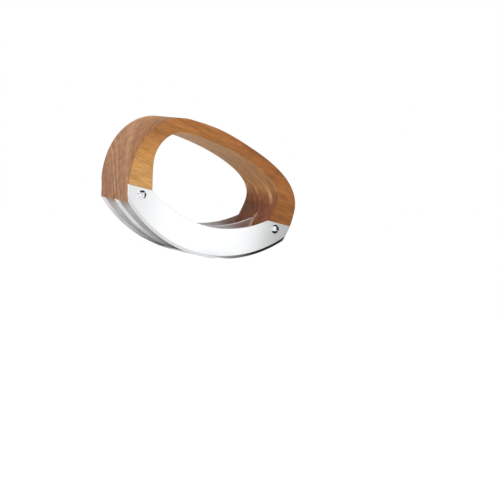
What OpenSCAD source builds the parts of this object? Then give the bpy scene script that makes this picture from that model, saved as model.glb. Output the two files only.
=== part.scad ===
// Mezzaluna with three crescent blades let into one block of hardwood.
// X runs along the blades, Y from the front blade to the rear one, and Z up.
// The origin lies under the lowest point of the cutting edges, at the middle of the depth.
// Every size is in millimetres.

/* [Blades] */
// Length of a blade across its upper corners
blade_length = 145.8; // [142:0.2:146.4]
// Thickness of a blade
blade_thickness = 1.5; // [1:0.1:2.2]
// Height of a blade at its middle, from the cutting edge to the hollow upper edge
blade_width = 23.4; // [22:0.2:26]
// Radius of the cutting edge
edge_radius = 104; // [98:0.5:107]
// Radius of the hollow upper edge
hollow_radius = 91.5; // [86:0.5:96]
// Width of the ground bevel on each side of the cutting edge
bevel_width = 2.3; // [1.4:0.1:3.5]

/* [Handle] */
// Depth of the handle, from the front blade's outer face to the rear blade's
handle_depth = 48; // [38:1:60]
// Length of the handle across its two flanks
handle_length = 148; // [147:0.2:152]
// Height of the crown above the cutting edges
crown_height = 98; // [92:1:106]
// How far the crown lies to the left of the middle
crown_shift = 34; // [26:1:38]
// Width of the band of wood at the crown
crown_band = 10.7; // [9:0.1:14]
// Width of the band of wood on the slope to the right of the crown
slope_band = 9.8; // [8:0.1:13]
// Width of the band of wood at the left flank
left_flank_band = 17.2; // [13:0.1:19]
// Width of the band of wood at the right flank
right_flank_band = 18.4; // [15:0.1:21]
// Width of a foot at its underside
foot_band = 19; // [16:0.1:20]

/* [Rivets] */
// Distance between the two rivets, left to right
rivet_span = 120; // [117:0.5:124]
// Height of the rivets above the lowest point of the cutting edges
rivet_height = 34; // [33:0.5:35]
// Diameter of a rivet's domed head
head_diameter = 7; // [6:0.1:8.5]
// Height of a rivet's domed head
head_height = 1.2; // [0.8:0.1:1.8]
// Diameter of a rivet's shank
shank_diameter = 4; // [3.5:0.1:4.6]
// Diameter of the pin half's nose, which is pressed into the socket half
nose_diameter = 2.5; // [2:0.1:2.8]

/* [Hidden] */

wood_colour = [0.66, 0.45, 0.28];
steel_colour = [0.84, 0.85, 0.87];
rivet_colour = [0.74, 0.75, 0.77];

// How far a cutting shape reaches past what it cuts
past = 5;
// Sides of the round shapes: the blades' arcs, the domed heads and the holes with their shanks
arc_sides = 180;
head_sides = 64;
dome_sides = 96;
hole_sides = 48;

// Heights of the blades' straight upper ends and lower corners, level with the feet's undersides
shoulder_z = rivet_height + 5.3;
corner_z = rivet_height - 7.3;
foot_z = corner_z;
// Flat left on the tip of the ground edge
edge_flat = 0.15;
// Where the lower corners lie, on the circle of the cutting edge, and how far a blade's end
// leans outwards for each millimetre that it rises
corner_x = sqrt(pow(edge_radius, 2) - pow(edge_radius - corner_z, 2));
end_lean = (blade_length / 2 - corner_x) / (shoulder_z - corner_z);
// How far the middle blade's ends lie inside the ends of the outer blades
middle_setback = 0.4;

// Play of the middle blade in its saw kerf, of a shank in its hole, and of a nose in its hole
kerf_play = 0.1;
shank_play = 0.1;
nose_play = 0.02;
// Height of the saw kerf on the finger side, where the saw ran out
kerf_runout_z = rivet_height + 9.5;

// Place along Y where a rivet's two halves meet, the lengths of the nose and of its hole,
// the chamfer on the nose's end, and the straight rim under a domed head
halves_meet_y = 6;
nose_length = 10;
nose_hole_depth = 11;
nose_chamfer = 0.4;
head_rim = 0.25;

flank_x = handle_length / 2;
// How far a foot's outer corner lies inside the flank above it
foot_inset = 4.1;
foot_outer_x = flank_x - foot_inset;
foot_inner_x = foot_outer_x - foot_band;
// Widest points of the two flanks, outside and on the finger side
left_flank_z = rivet_height + 17.4;
right_flank_z = rivet_height + 16.5;
left_finger_z = rivet_height + 29.3;
right_finger_z = rivet_height + 21;
// A place on the long slope from the crown to the right flank, and the way it falls
slope_x = 26;
slope_drop = 9;
slope_z = crown_height - slope_drop;
slope_heading = -16;
slope_inward = [sin(slope_heading), -cos(slope_heading)];

// An outline is a chain of cubic curves. An anchor is its x, its z, the heading of the curve
// through it in degrees, and how far the curve reaches along that heading before and after it.
outer_anchors = [
    [-foot_outer_x, foot_z, 100, 0, 8],
    [-flank_x, left_flank_z, 90, 11.5, 27.5],
    [-crown_shift, crown_height, 0, 21.5, 26],
    [slope_x, slope_z, slope_heading, 26, 22.5],
    [flank_x, right_flank_z, -90, 21.5, 13.5],
    [foot_outer_x, foot_z, -100, 8, 0]
];
finger_anchors = [
    [foot_inner_x, foot_z, 96, 0, 9],
    [flank_x - right_flank_band, right_finger_z, 90, 9, 12.5],
    [
        slope_x + slope_band * slope_inward[0],
        slope_z + slope_band * slope_inward[1],
        slope_heading + 180, 17, 17
    ],
    [-crown_shift, crown_height - crown_band, 180, 21, 13.5],
    [left_flank_band - flank_x, left_finger_z, -90, 12, 11],
    [-foot_inner_x, foot_z, -96, 10, 0]
];
curve_steps = 16;

function heading_vector(anchor) = [cos(anchor[2]), sin(anchor[2])];

function curve_point(a, b, s) =
    let(
        start = [a[0], a[1]],
        end = [b[0], b[1]],
        leaving = start + a[4] * heading_vector(a),
        arriving = end - b[3] * heading_vector(b),
        r = 1 - s
    )
    r * r * r * start + 3 * r * r * s * leaving + 3 * r * s * s * arriving + s * s * s * end;

function chain_points(anchors) = [
    for (i = [0 : len(anchors) - 2])
        for (k = [0 : curve_steps - (i == len(anchors) - 2 ? 0 : 1)])
            curve_point(anchors[i], anchors[i + 1], k / curve_steps)
];

// The arch seen from the front, clockwise: over the outside and back round the finger hole
arch_outline = concat(chain_points(outer_anchors), chain_points(finger_anchors));

// Stands a shape drawn in X and Y upright, with its base at depth rear_y and facing the front
module upright(rear_y) {
    translate([0, rear_y, 0])
        rotate([90, 0, 0])
            children();
}

module arch_block() {
    upright(handle_depth / 2)
        linear_extrude(height = handle_depth, convexity = 6)
            polygon(arch_outline);
}

module rivet_holes(from_y, to_y) {
    for (side = [-1, 1])
        translate([side * rivet_span / 2, 0, rivet_height])
            upright(to_y)
                cylinder(h = to_y - from_y, d = shank_diameter + shank_play, $fn = hole_sides);
}

// A rebate takes an outer blade, up to the height of the blade's straight upper ends
module rebate(from_y, to_y) {
    translate([-flank_x - past, from_y, foot_z - past])
        cube([handle_length + 2 * past, to_y - from_y, shoulder_z - foot_z + past]);
}

// The kerf of the middle blade rises towards the finger hole, as the saw leaves it
module saw_kerf() {
    kerf_width = blade_thickness + kerf_play;
    for (side = [0, 1])
        mirror([side, 0, 0])
            upright(kerf_width / 2)
                linear_extrude(height = kerf_width)
                    polygon([
                        [flank_x + past, foot_z - past],
                        [flank_x + past, shoulder_z],
                        [foot_outer_x, shoulder_z],
                        [foot_inner_x, kerf_runout_z],
                        [foot_inner_x - past, kerf_runout_z],
                        [foot_inner_x - past, foot_z - past]
                    ]);
}

module handle() {
    color(wood_colour)
        difference() {
            arch_block();
            rebate(-handle_depth / 2 - past, blade_thickness - handle_depth / 2);
            rebate(handle_depth / 2 - blade_thickness, handle_depth / 2 + past);
            saw_kerf();
            rivet_holes(-handle_depth / 2 - past, handle_depth / 2 + past);
        }
}

// A disc with the cutting edge ground on its rim from both sides
module ground_disc() {
    middle = blade_thickness / 2;
    translate([0, edge_radius, 0])
        rotate_extrude($fn = arc_sides)
            polygon([
                [0, 0],
                [edge_radius - bevel_width, 0],
                [edge_radius, middle - edge_flat / 2],
                [edge_radius, middle + edge_flat / 2],
                [edge_radius - bevel_width, blade_thickness],
                [0, blade_thickness]
            ]);
}

module blade(rear_y, setback = 0) {
    half_length = blade_length / 2 - setback;
    half_below = half_length - end_lean * (shoulder_z + past);
    color(steel_colour)
        difference() {
            upright(rear_y)
                difference() {
                    intersection() {
                        ground_disc();
                        translate([0, 0, -past])
                            linear_extrude(height = blade_thickness + 2 * past)
                                polygon([
                                    [-half_length, shoulder_z],
                                    [half_length, shoulder_z],
                                    [half_below, -past],
                                    [-half_below, -past]
                                ]);
                    }
                    translate([0, blade_width + hollow_radius, -past])
                        cylinder(h = blade_thickness + 2 * past, r = hollow_radius, $fn = arc_sides);
                }
            rivet_holes(rear_y - blade_thickness - past, rear_y + past);
        }
}

module front_blade() {
    blade(blade_thickness - handle_depth / 2);
}

module middle_blade() {
    blade(blade_thickness / 2, middle_setback);
}

module rear_blade() {
    blade(handle_depth / 2);
}

// A low dome on a short rim, standing on Z = 0
module domed_head() {
    radius = head_diameter / 2;
    dome_height = head_height - head_rim;
    dome_radius = (radius * radius + dome_height * dome_height) / (2 * dome_height);
    intersection() {
        cylinder(h = head_height, r = radius, $fn = head_sides);
        translate([0, 0, head_height - dome_radius])
            sphere(r = dome_radius, $fn = dome_sides);
    }
}

// The socket half comes from the front, and takes the nose of the pin half in its end
module rivet_socket(side) {
    shank_length = handle_depth / 2 + halves_meet_y;
    color(rivet_colour)
        translate([side * rivet_span / 2, 0, rivet_height]) {
            upright(-handle_depth / 2)
                domed_head();
            upright(halves_meet_y)
                difference() {
                    cylinder(h = shank_length, d = shank_diameter, $fn = hole_sides);
                    translate([0, 0, -past])
                        cylinder(
                            h = nose_hole_depth + past,
                            d = nose_diameter + nose_play,
                            $fn = hole_sides
                        );
                }
        }
}

module rivet_pin(side) {
    shank_length = handle_depth / 2 - halves_meet_y;
    color(rivet_colour)
        translate([side * rivet_span / 2, 0, rivet_height])
            mirror([0, 1, 0]) {
                upright(-handle_depth / 2)
                    domed_head();
                upright(-halves_meet_y) {
                    cylinder(h = shank_length, d = shank_diameter, $fn = hole_sides);
                    translate([0, 0, nose_chamfer - nose_length])
                        cylinder(h = nose_length, d = nose_diameter, $fn = hole_sides);
                    translate([0, 0, -nose_length])
                        cylinder(
                            h = nose_chamfer,
                            d1 = nose_diameter - 2 * nose_chamfer,
                            d2 = nose_diameter,
                            $fn = hole_sides
                        );
                }
            }
}

module left_rivet_socket() {
    rivet_socket(-1);
}

module left_rivet_pin() {
    rivet_pin(-1);
}

module right_rivet_socket() {
    rivet_socket(1);
}

module right_rivet_pin() {
    rivet_pin(1);
}

handle();
front_blade();
middle_blade();
rear_blade();
left_rivet_socket();
left_rivet_pin();
right_rivet_socket();
right_rivet_pin();
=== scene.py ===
"""Looks of a mezzaluna: three crescent blades let into one lopsided hardwood arch.

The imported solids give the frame, the places and the main sizes. Lengths are in millimetres
here, and each mesh turns them to metres once, with MM. X runs along the blades, Y from the
front blade to the rear one, and Z up from the cutting edges.
"""

import logging
import math
from dataclasses import dataclass
from enum import Enum
from typing import Any

import bmesh
import bpy
from bmesh.types import BMesh
from bpy.types import Material, Mesh, Node, NodeOutputs, NodeSocket, NodeTree, Object
from mathutils import Matrix, Vector
from mathutils.geometry import interpolate_bezier


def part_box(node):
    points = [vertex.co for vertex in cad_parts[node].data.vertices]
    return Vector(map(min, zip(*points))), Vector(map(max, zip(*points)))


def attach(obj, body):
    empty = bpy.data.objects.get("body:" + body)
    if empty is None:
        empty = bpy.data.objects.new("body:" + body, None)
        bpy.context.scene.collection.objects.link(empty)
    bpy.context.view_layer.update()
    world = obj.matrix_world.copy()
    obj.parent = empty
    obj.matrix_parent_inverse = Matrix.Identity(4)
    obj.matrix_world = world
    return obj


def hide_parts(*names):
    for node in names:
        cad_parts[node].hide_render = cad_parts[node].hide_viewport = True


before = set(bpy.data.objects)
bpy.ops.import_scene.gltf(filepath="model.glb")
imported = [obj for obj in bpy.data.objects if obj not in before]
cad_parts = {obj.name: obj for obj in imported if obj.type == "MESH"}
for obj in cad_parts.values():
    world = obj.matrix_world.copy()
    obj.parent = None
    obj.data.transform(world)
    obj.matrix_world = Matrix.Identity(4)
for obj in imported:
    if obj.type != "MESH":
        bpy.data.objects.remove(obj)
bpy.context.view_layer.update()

log = logging.getLogger("mezzaluna")

MM = 0.001
BODY = "root"
WHITE = (1.0, 1.0, 1.0, 1.0)
WOOD_IOR = 1.47
Shades = tuple[tuple[float, str], ...]


class Side(Enum):
    """The two ends of the tool, by the sign of X."""

    LEFT = -1
    RIGHT = 1


class Plate(Enum):
    """The three blades, by the name of the solid that each stands for."""

    FRONT = "front_blade"
    MIDDLE = "middle_blade"
    REAR = "rear_blade"


class RivetHalf(Enum):
    """The two halves of a rivet, by the name of the solid and the way the head faces along Y."""

    SOCKET = ("rivet_socket", -1)
    PIN = ("rivet_pin", 1)


def linear_colour(hex_code: str) -> tuple[float, float, float, float]:
    """Turns an sRGB hex code into the linear colour that a socket takes.

    Args:
        hex_code: Six hex digits, such as "C89860".

    Returns:
        Red, green, blue and alpha, linear, with alpha 1.
    """
    parts = [int(hex_code[i : i + 2], 16) / 255 for i in (0, 2, 4)]
    red, green, blue = (c / 12.92 if c <= 0.04045 else ((c + 0.055) / 1.055) ** 2.4 for c in parts)
    return red, green, blue, 1.0


def add_node(
    tree: NodeTree,
    kind: str,
    inputs: dict[int | str, Any] | None = None,
    stops: Shades = (),
    **settings: Any,
) -> Node:
    """Adds a node to a tree, with its settings, its values and its links.

    Args:
        tree: The tree that gets the node.
        kind: The node's type name.
        inputs: What each input takes, by its name or its number. A socket is linked, a node
            is linked by its first output in use, and anything else is set as the value.
        stops: The places, from 0 to 1, and sRGB hex codes of a colour ramp.
        **settings: Properties of the node itself.

    Returns:
        The new node.
    """
    node = tree.nodes.new(kind)
    for name, value in settings.items():
        setattr(node, name, value)
    if stops:
        elements = node.color_ramp.elements
        for element, (place, hex_code) in zip(elements, (stops[0], stops[-1])):
            element.position = place
            element.color = linear_colour(hex_code)
    for place, hex_code in stops[1:-1]:
        node.color_ramp.elements.new(place).color = linear_colour(hex_code)
    for key, value in (inputs or {}).items():
        if isinstance(value, Node):
            value = next(output for output in value.outputs if output.enabled)
        if isinstance(value, NodeSocket):
            tree.links.new(value, node.inputs[key])
        else:
            node.inputs[key].default_value = value
    return node


def stretch(value: Any, start: Any, end: Any, to_start: Any = 0.0, to_end: Any = 1.0) -> dict[str, Any]:
    """Lists what a Map Range node takes, which carries one span of values over to another.

    Args:
        value: The node or socket that gives the value.
        start: The value that becomes to_start.
        end: The value that becomes to_end.
        to_start: The first end of the new span.
        to_end: The other end of the new span, which may also be a node or a socket.

    Returns:
        What each input takes, by its name.
    """
    return {"Value": value, "From Min": start, "From Max": end, "To Min": to_start, "To Max": to_end}


def new_material(name: str) -> tuple[Material, NodeTree]:
    """Makes an empty node material.

    Args:
        name: The material's name.

    Returns:
        The material and its node tree, with no nodes in it.
    """
    material = bpy.data.materials.new(name)
    material.use_nodes = True
    material.node_tree.nodes.clear()
    return material, material.node_tree


def place_in_mm(tree: NodeTree) -> Node:
    """Adds the nodes that give a point's place on the object, in millimetres.

    Args:
        tree: A material's node tree.

    Returns:
        The node whose output is the place as a vector.
    """
    coordinates = add_node(tree, "ShaderNodeTexCoord")
    scaling = {0: coordinates.outputs["Object"], "Scale": 1 / MM}
    return add_node(tree, "ShaderNodeVectorMath", scaling, operation="SCALE")


@dataclass(frozen=True)
class OiledAcacia:
    """Oiled acacia, sanded smooth: golden side grain and brown end grain.

    The fibres run along X and fall a little to the right. The growth rings are wide arcs
    round a line behind the block. The flanks, where the fibres end, drink more oil, so they
    are browner and show the rings as steep bands. The front shows short fine lines and
    pores. The side grain darkens towards the crown and to the right, partly in its own tone
    and partly as painted shade. The right end's flanks are browner than the left ones,
    partly in their own tone and partly as painted shade, with a pale band in the finger hole
    above the foot, and a raw pale edge beside the kerf. Towards the foot, and on the outer
    flank, they are darker still, as painted shade. Faces that look down, as at the top of
    the finger hole, get a lighter colour as painted light. The oil leaves a dull sheen. Each
    list of shades goes by the distance from the pith, and each turn by how far a face looks
    along X, or along Z for the faces that look down. A pair of levels, heights or turns
    gives where a change begins and where it is complete.
    """

    name: str = "oiled_acacia"
    pith: tuple[float, float, float] = (0.0, 42.0, 26.5)
    fibre_fall: float = 9.0
    ring_reach: tuple[float, float] = (24.0, 104.0)
    ring_warp: float = 1.6
    warp_length: float = 45.0
    drift_reach: tuple[float, float] = (0.3, 0.7)
    ring_spacing: float = 3.2
    figure_size: tuple[float, float] = (26.0, 5.0)
    streak_size: tuple[float, float] = (14.0, 1.1)
    line_size: tuple[float, float] = (6.0, 0.4)
    speck_size: tuple[float, float] = (1.1, 0.5)
    left_to_right: tuple[float, float] = (-64.0, 44.0)
    roughness: tuple[float, float] = (0.48, 0.62)
    gloss: float = 0.12
    contrast: float = 0.44
    grain_depth: float = 0.06
    grain_strength: float = 0.5
    pore: str = "4A2C18"
    pore_level: tuple[float, float] = (0.36, 0.28)
    pore_share: float = 0.25
    end_turn: tuple[float, float] = (0.25, 0.75)
    outward_turn: tuple[float, float] = (-0.2, 0.2)
    end_left: Shades = (
        (30, "B27F60"), (42, "BD8C6A"), (52, "BA8A67"), (61, "B98664"), (65, "CC9A72"),
        (68, "B48260"), (80, "AC774C"), (96, "9A613B"),
    )
    # Partly the wood's own tone and partly painted shade, with a pale band in the finger hole.
    end_right_tone_and_shade: Shades = (
        (30, "A56A4A"), (42, "B87651"), (52, "D08C5C"), (61.5, "C48457"), (63.3, "FFD09A"),
        (65.2, "FFD09A"), (67, "A46C42"), (73, "9A683F"), (80, "E6A873"), (96, "A8703F"),
    )
    # Painted shade: the right end's flanks darker towards the foot and on the outer flank, over the
    # heights that follow.
    end_foot_shade: Shades = (
        (30, "7A4E38"), (46, "855238"), (65, "91583C"), (90, "9A6040"),
    )
    foot_shade_fade: tuple[float, float] = (62.0, 51.0)
    # Painted light: faces that look down get this lighter colour, by the share and the turns that follow.
    roof_painted_light: str = "E2AA6A"
    roof_light_share: float = 0.6
    roof_turn: tuple[float, float] = (-0.25, -0.65)
    raw_edge: str = "C4A283"
    raw_edge_y: float = -1.9
    raw_edge_half: tuple[float, float] = (1.5, 1.1)
    raw_edge_top: tuple[float, float] = (44.5, 42.5)
    # The side grain's shades darken towards the crown, partly in the wood's own tone and partly as painted
    # shade; the right ones more so.
    side_left_tone_and_shade: Shades = (
        (30, "A97F5A"), (60, "B98B5C"), (68, "D09C5E"), (76, "C28B4D"), (84, "AD7643"),
        (92, "AE733D"), (100, "B57740"),
    )
    side_right_tone_and_shade: Shades = (
        (30, "80593F"), (60, "8B6043"), (68, "965F32"), (76, "A36838"), (84, "9E6334"),
        (92, "A06538"), (100, "A86C3E"),
    )

    def ring_distance(self, tree: NodeTree, place: Node) -> Node:
        """Adds the nodes that give the distance from the pith, bent a little along the fibres.

        Args:
            tree: The material's node tree.
            place: The place on the object in millimetres.

        Returns:
            The node whose output is the distance in millimetres.
        """
        from_pith = add_node(tree, "ShaderNodeVectorMath", {0: place, 1: self.pith}, operation="SUBTRACT")
        level = {0: from_pith, 1: (0.0, 1.0, 1.0)}
        across = add_node(tree, "ShaderNodeVectorMath", level, operation="MULTIPLY")
        radius = add_node(tree, "ShaderNodeVectorMath", {0: across}, operation="LENGTH")
        slow = 1 / self.warp_length
        squeeze = {0: place, 1: (slow / 2, slow, slow)}
        squeezed = add_node(tree, "ShaderNodeVectorMath", squeeze, operation="MULTIPLY")
        drift = add_node(tree, "ShaderNodeTexNoise", {"Vector": squeezed, "Scale": 1.0, "Detail": 1.0})
        warp = stretch(drift, *self.drift_reach, -self.ring_warp, self.ring_warp)
        bend = add_node(tree, "ShaderNodeMapRange", warp)
        return add_node(tree, "ShaderNodeMath", {0: radius, 1: bend}, operation="ADD")

    def grain(self, tree: NodeTree, fibres: Node, size: tuple[float, float], detail: float) -> Node:
        """Adds a noise whose grains lie along the fibres.

        Args:
            tree: The material's node tree.
            fibres: The place in millimetres, turned so that X follows the fibres.
            size: Length and width of a grain in millimetres.
            detail: The noise's detail.

        Returns:
            The node whose output is the noise, about 0.5.
        """
        length, width = size
        squeeze = {0: fibres, 1: (1 / length, 1 / width, 1 / width)}
        squeezed = add_node(tree, "ShaderNodeVectorMath", squeeze, operation="MULTIPLY")
        return add_node(tree, "ShaderNodeTexNoise", {"Vector": squeezed, "Scale": 1.0, "Detail": detail})

    def ring_colour(self, tree: NodeTree, distance: Node, shades: Shades) -> Node:
        """Adds the nodes that colour one kind of grain by its distance from the pith.

        Args:
            tree: The material's node tree.
            distance: The distance from the pith in millimetres.
            shades: The colours by the distance.

        Returns:
            The node whose output is the colour.
        """
        low, high = self.ring_reach
        share = add_node(tree, "ShaderNodeMapRange", stretch(distance, low, high))
        stops = tuple(((at - low) / (high - low), hex_code) for at, hex_code in shades)
        return add_node(tree, "ShaderNodeValToRGB", {"Fac": share}, stops)

    def right_end_shaded(self, tree: NodeTree, distance: Node, height: NodeSocket, outward: Node) -> Node:
        """Adds the nodes that colour the right end's flanks, partly with painted shade.

        The finger hole's colours are partly painted shade, and towards the foot and on the
        outer flank a darker painted shade takes over.

        Args:
            tree: The material's node tree.
            distance: The distance from the pith in millimetres.
            height: The height in millimetres.
            outward: 1 on the outer flank and 0 in the finger hole.

        Returns:
            The node whose output is the colour.
        """
        # Painted shade comes in towards the foot and on the outer flank.
        foot_shade = add_node(tree, "ShaderNodeMapRange", stretch(height, *self.foot_shade_fade))
        plain = add_node(tree, "ShaderNodeMath", {0: foot_shade, 1: outward}, operation="MAXIMUM")
        in_hole = self.ring_colour(tree, distance, self.end_right_tone_and_shade)
        elsewhere = self.ring_colour(tree, distance, self.end_foot_shade)
        flank = {"Factor": plain, "A": in_hole, "B": elsewhere}
        return add_node(tree, "ShaderNodeMix", flank, data_type="RGBA")

    def raw_share(self, tree: NodeTree, apart: NodeOutputs, inward: Node) -> Node:
        """Adds the nodes that mark the raw edge beside the right kerf, in the finger hole.

        Args:
            tree: The material's node tree.
            apart: The place on the object in millimetres, apart.
            inward: 1 in the right half of the finger hole and 0 or less elsewhere.

        Returns:
            The node whose output is how much of the raw wood shows.
        """
        level = {0: apart["Y"], 1: self.raw_edge_y}
        beside = add_node(tree, "ShaderNodeMath", level, operation="SUBTRACT")
        off = add_node(tree, "ShaderNodeMath", {0: beside}, operation="ABSOLUTE")
        strip = add_node(tree, "ShaderNodeMapRange", stretch(off, *self.raw_edge_half))
        below = add_node(tree, "ShaderNodeMapRange", stretch(apart["Z"], *self.raw_edge_top))
        corner = add_node(tree, "ShaderNodeMath", {0: strip, 1: below}, operation="MULTIPLY")
        shares = {0: corner, 1: inward}
        return add_node(tree, "ShaderNodeMath", shares, operation="MULTIPLY", use_clamp=True)

    def body(self, tree: NodeTree, place: Node, distance: Node) -> tuple[Node, Node]:
        """Adds the nodes for the wood's colour before its fine grain, with painted light and shade.

        Args:
            tree: The material's node tree.
            place: The place on the object in millimetres.
            distance: The distance from the pith in millimetres.

        Returns:
            The node whose output is the colour, and the one whose output is 1 on end grain
            and 0 on side grain.
        """
        smooth = {"interpolation_type": "SMOOTHSTEP"}
        apart = add_node(tree, "ShaderNodeSeparateXYZ", {"Vector": place}).outputs
        rightness = add_node(
            tree, "ShaderNodeMapRange", stretch(apart["X"], *self.left_to_right), **smooth
        )
        geometry = add_node(tree, "ShaderNodeNewGeometry").outputs
        facing = add_node(tree, "ShaderNodeSeparateXYZ", {"Vector": geometry["Normal"]}).outputs
        outward = add_node(tree, "ShaderNodeMapRange", stretch(facing["X"], *self.outward_turn))
        across = add_node(tree, "ShaderNodeMath", {0: facing["X"]}, operation="ABSOLUTE")
        endness = add_node(tree, "ShaderNodeMapRange", stretch(across, *self.end_turn), **smooth)
        roof_light_range = stretch(facing["Z"], *self.roof_turn, to_end=self.roof_light_share)
        roof_light = add_node(tree, "ShaderNodeMapRange", roof_light_range)
        inward = add_node(tree, "ShaderNodeMath", {0: rightness, 1: outward}, operation="SUBTRACT")

        left_side = self.ring_colour(tree, distance, self.side_left_tone_and_shade)
        right_side = self.ring_colour(tree, distance, self.side_right_tone_and_shade)
        sides = {"Factor": rightness, "A": left_side, "B": right_side}
        colour = add_node(tree, "ShaderNodeMix", sides, data_type="RGBA")
        left_end = self.ring_colour(tree, distance, self.end_left)
        # The right end's colours are partly painted shade.
        right_end_shaded = self.right_end_shaded(tree, distance, apart["Z"], outward)
        ends = {"Factor": rightness, "A": left_end, "B": right_end_shaded}
        end_grain = add_node(tree, "ShaderNodeMix", ends, data_type="RGBA")
        # Each layer covers the ones before it by its share.
        layers = (
            (endness, end_grain),
            # Painted light: faces that look down are lightened.
            (roof_light, linear_colour(self.roof_painted_light)),
            (self.raw_share(tree, apart, inward), linear_colour(self.raw_edge)),
        )
        for share, over in layers:
            laid = {"Factor": share, "A": colour, "B": over}
            colour = add_node(tree, "ShaderNodeMix", laid, data_type="RGBA")
        return colour, endness

    def material(self) -> Material:
        """Builds the wood.

        Returns:
            The material.
        """
        material, tree = new_material(self.name)
        place = place_in_mm(tree)
        distance = self.ring_distance(tree, place)
        body, endness = self.body(tree, place, distance)

        fall = {"Vector": place, "Angle": math.radians(-self.fibre_fall)}
        fibres = add_node(tree, "ShaderNodeVectorRotate", fall, rotation_type="Y_AXIS")
        figure = self.grain(tree, fibres, self.figure_size, 2.0)
        streaks = self.grain(tree, fibres, self.streak_size, 3.0)
        lines = self.grain(tree, fibres, self.line_size, 2.0)
        specks = self.grain(tree, fibres, self.speck_size, 2.0)
        ring_size = {"W": distance, "Scale": 1 / self.ring_spacing, "Detail": 3.0}
        rings = add_node(tree, "ShaderNodeTexNoise", ring_size, noise_dimensions="1D")
        side_sum = add_node(tree, "ShaderNodeMath", {0: streaks, 1: lines}, operation="ADD")
        end_sum = add_node(tree, "ShaderNodeMath", {0: rings, 1: specks}, operation="ADD")
        fine = add_node(tree, "ShaderNodeMix", {"Factor": endness, "A": side_sum, "B": end_sum})
        total = add_node(tree, "ShaderNodeMath", {0: fine, 1: figure}, operation="ADD")
        light_and_dark = stretch(total, 1.0, 2.0, 1 - self.contrast, 1 + self.contrast)
        value = add_node(tree, "ShaderNodeMapRange", light_and_dark)
        grained = add_node(tree, "ShaderNodeHueSaturation", {"Value": value, "Color": body})
        pore_look = stretch(lines, *self.pore_level, to_end=self.pore_share)
        pores = add_node(tree, "ShaderNodeMapRange", pore_look)
        pits = {"Factor": pores, "A": grained, "B": linear_colour(self.pore)}
        pored = add_node(tree, "ShaderNodeMix", pits, data_type="RGBA")
        sheen = stretch(streaks, 0.0, 1.0, *self.roughness)
        rough = add_node(tree, "ShaderNodeMapRange", sheen)
        depth = self.grain_depth * MM
        relief = {"Height": lines, "Strength": self.grain_strength, "Distance": depth}
        bump = add_node(tree, "ShaderNodeBump", relief)
        finish = {"Base Color": pored, "Roughness": rough, "Normal": bump, "IOR": WOOD_IOR}
        finish["Specular IOR Level"] = self.gloss
        shader = add_node(tree, "ShaderNodeBsdfPrincipled", finish)
        add_node(tree, "ShaderNodeOutputMaterial", {"Surface": shader})
        return material


@dataclass(frozen=True)
class SawnAcacia:
    """Acacia as the saw left it in the kerfs: raw, dry and pale, with the saw's fine marks.

    The marks are a few tenths of a millimetre apart, and are drawn as coarse as mark_spacing.
    """

    name: str = "sawn_acacia"
    pale: str = "D9B48F"
    dark: str = "B98F69"
    mark_spacing: float = 0.6
    mark_depth: float = 0.05
    mark_strength: float = 0.4
    mark_level: tuple[float, float] = (0.35, 0.65)
    roughness: float = 0.8

    def material(self) -> Material:
        """Builds the raw wood.

        Returns:
            The material.
        """
        material, tree = new_material(self.name)
        place = place_in_mm(tree)
        spread = {"Vector": place, "Scale": 1 / self.mark_spacing, "Detail": 2.0}
        marks = add_node(tree, "ShaderNodeTexNoise", spread)
        stops = tuple(zip(self.mark_level, (self.dark, self.pale)))
        colour = add_node(tree, "ShaderNodeValToRGB", {"Fac": marks}, stops)
        depth = self.mark_depth * MM
        relief = {"Height": marks, "Strength": self.mark_strength, "Distance": depth}
        bump = add_node(tree, "ShaderNodeBump", relief)
        finish = {"Base Color": colour, "Roughness": self.roughness, "Normal": bump, "IOR": WOOD_IOR}
        shader = add_node(tree, "ShaderNodeBsdfPrincipled", finish)
        add_node(tree, "ShaderNodeOutputMaterial", {"Surface": shader})
        return material


@dataclass(frozen=True)
class StainlessSteel:
    """Stainless steel of one finish, with the fine lines that its grinding left.

    The lines lie across the blades' length. Real ones are a few hundredths of a millimetre
    wide; they are drawn line_width apart so that they show.
    """

    name: str
    shade: str
    roughness: tuple[float, float]
    line_width: float = 0.35
    line_length: float = 14.0
    line_depth: float = 0.001
    line_strength: float = 0.3
    line_tint: tuple[float, float] = (0.985, 1.015)
    line_wear: float = 0.5
    wear_reach: tuple[float, float] = (0.5, 1.0)
    cloud_size: float = 20.0

    def material(self) -> Material:
        """Builds the steel.

        Returns:
            The material.
        """
        material, tree = new_material(self.name)
        place = place_in_mm(tree)
        squeeze = {0: place, 1: (1 / self.line_width, 1.0, 1 / self.line_length)}
        squeezed = add_node(tree, "ShaderNodeVectorMath", squeeze, operation="MULTIPLY")
        lines = add_node(tree, "ShaderNodeTexNoise", {"Vector": squeezed, "Scale": 1.0, "Detail": 2.0})
        cloud_look = {"Vector": place, "Scale": 1 / self.cloud_size, "Detail": 2.0}
        clouds = add_node(tree, "ShaderNodeTexNoise", cloud_look)
        worn = {0: lines, 1: self.line_wear, 2: clouds}
        wear = add_node(tree, "ShaderNodeMath", worn, operation="MULTIPLY_ADD")
        dulled = stretch(wear, *self.wear_reach, *self.roughness)
        rough = add_node(tree, "ShaderNodeMapRange", dulled)
        tint = add_node(tree, "ShaderNodeMapRange", stretch(lines, 0.0, 1.0, *self.line_tint))
        tinted = {"Value": tint, "Color": linear_colour(self.shade)}
        colour = add_node(tree, "ShaderNodeHueSaturation", tinted)
        depth = self.line_depth * MM
        relief = {"Height": lines, "Strength": self.line_strength, "Distance": depth}
        bump = add_node(tree, "ShaderNodeBump", relief)
        finish = {"Base Color": colour, "Metallic": 1.0, "Roughness": rough, "Normal": bump}
        shader = add_node(tree, "ShaderNodeBsdfPrincipled", finish)
        add_node(tree, "ShaderNodeOutputMaterial", {"Surface": shader})
        return material


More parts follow.
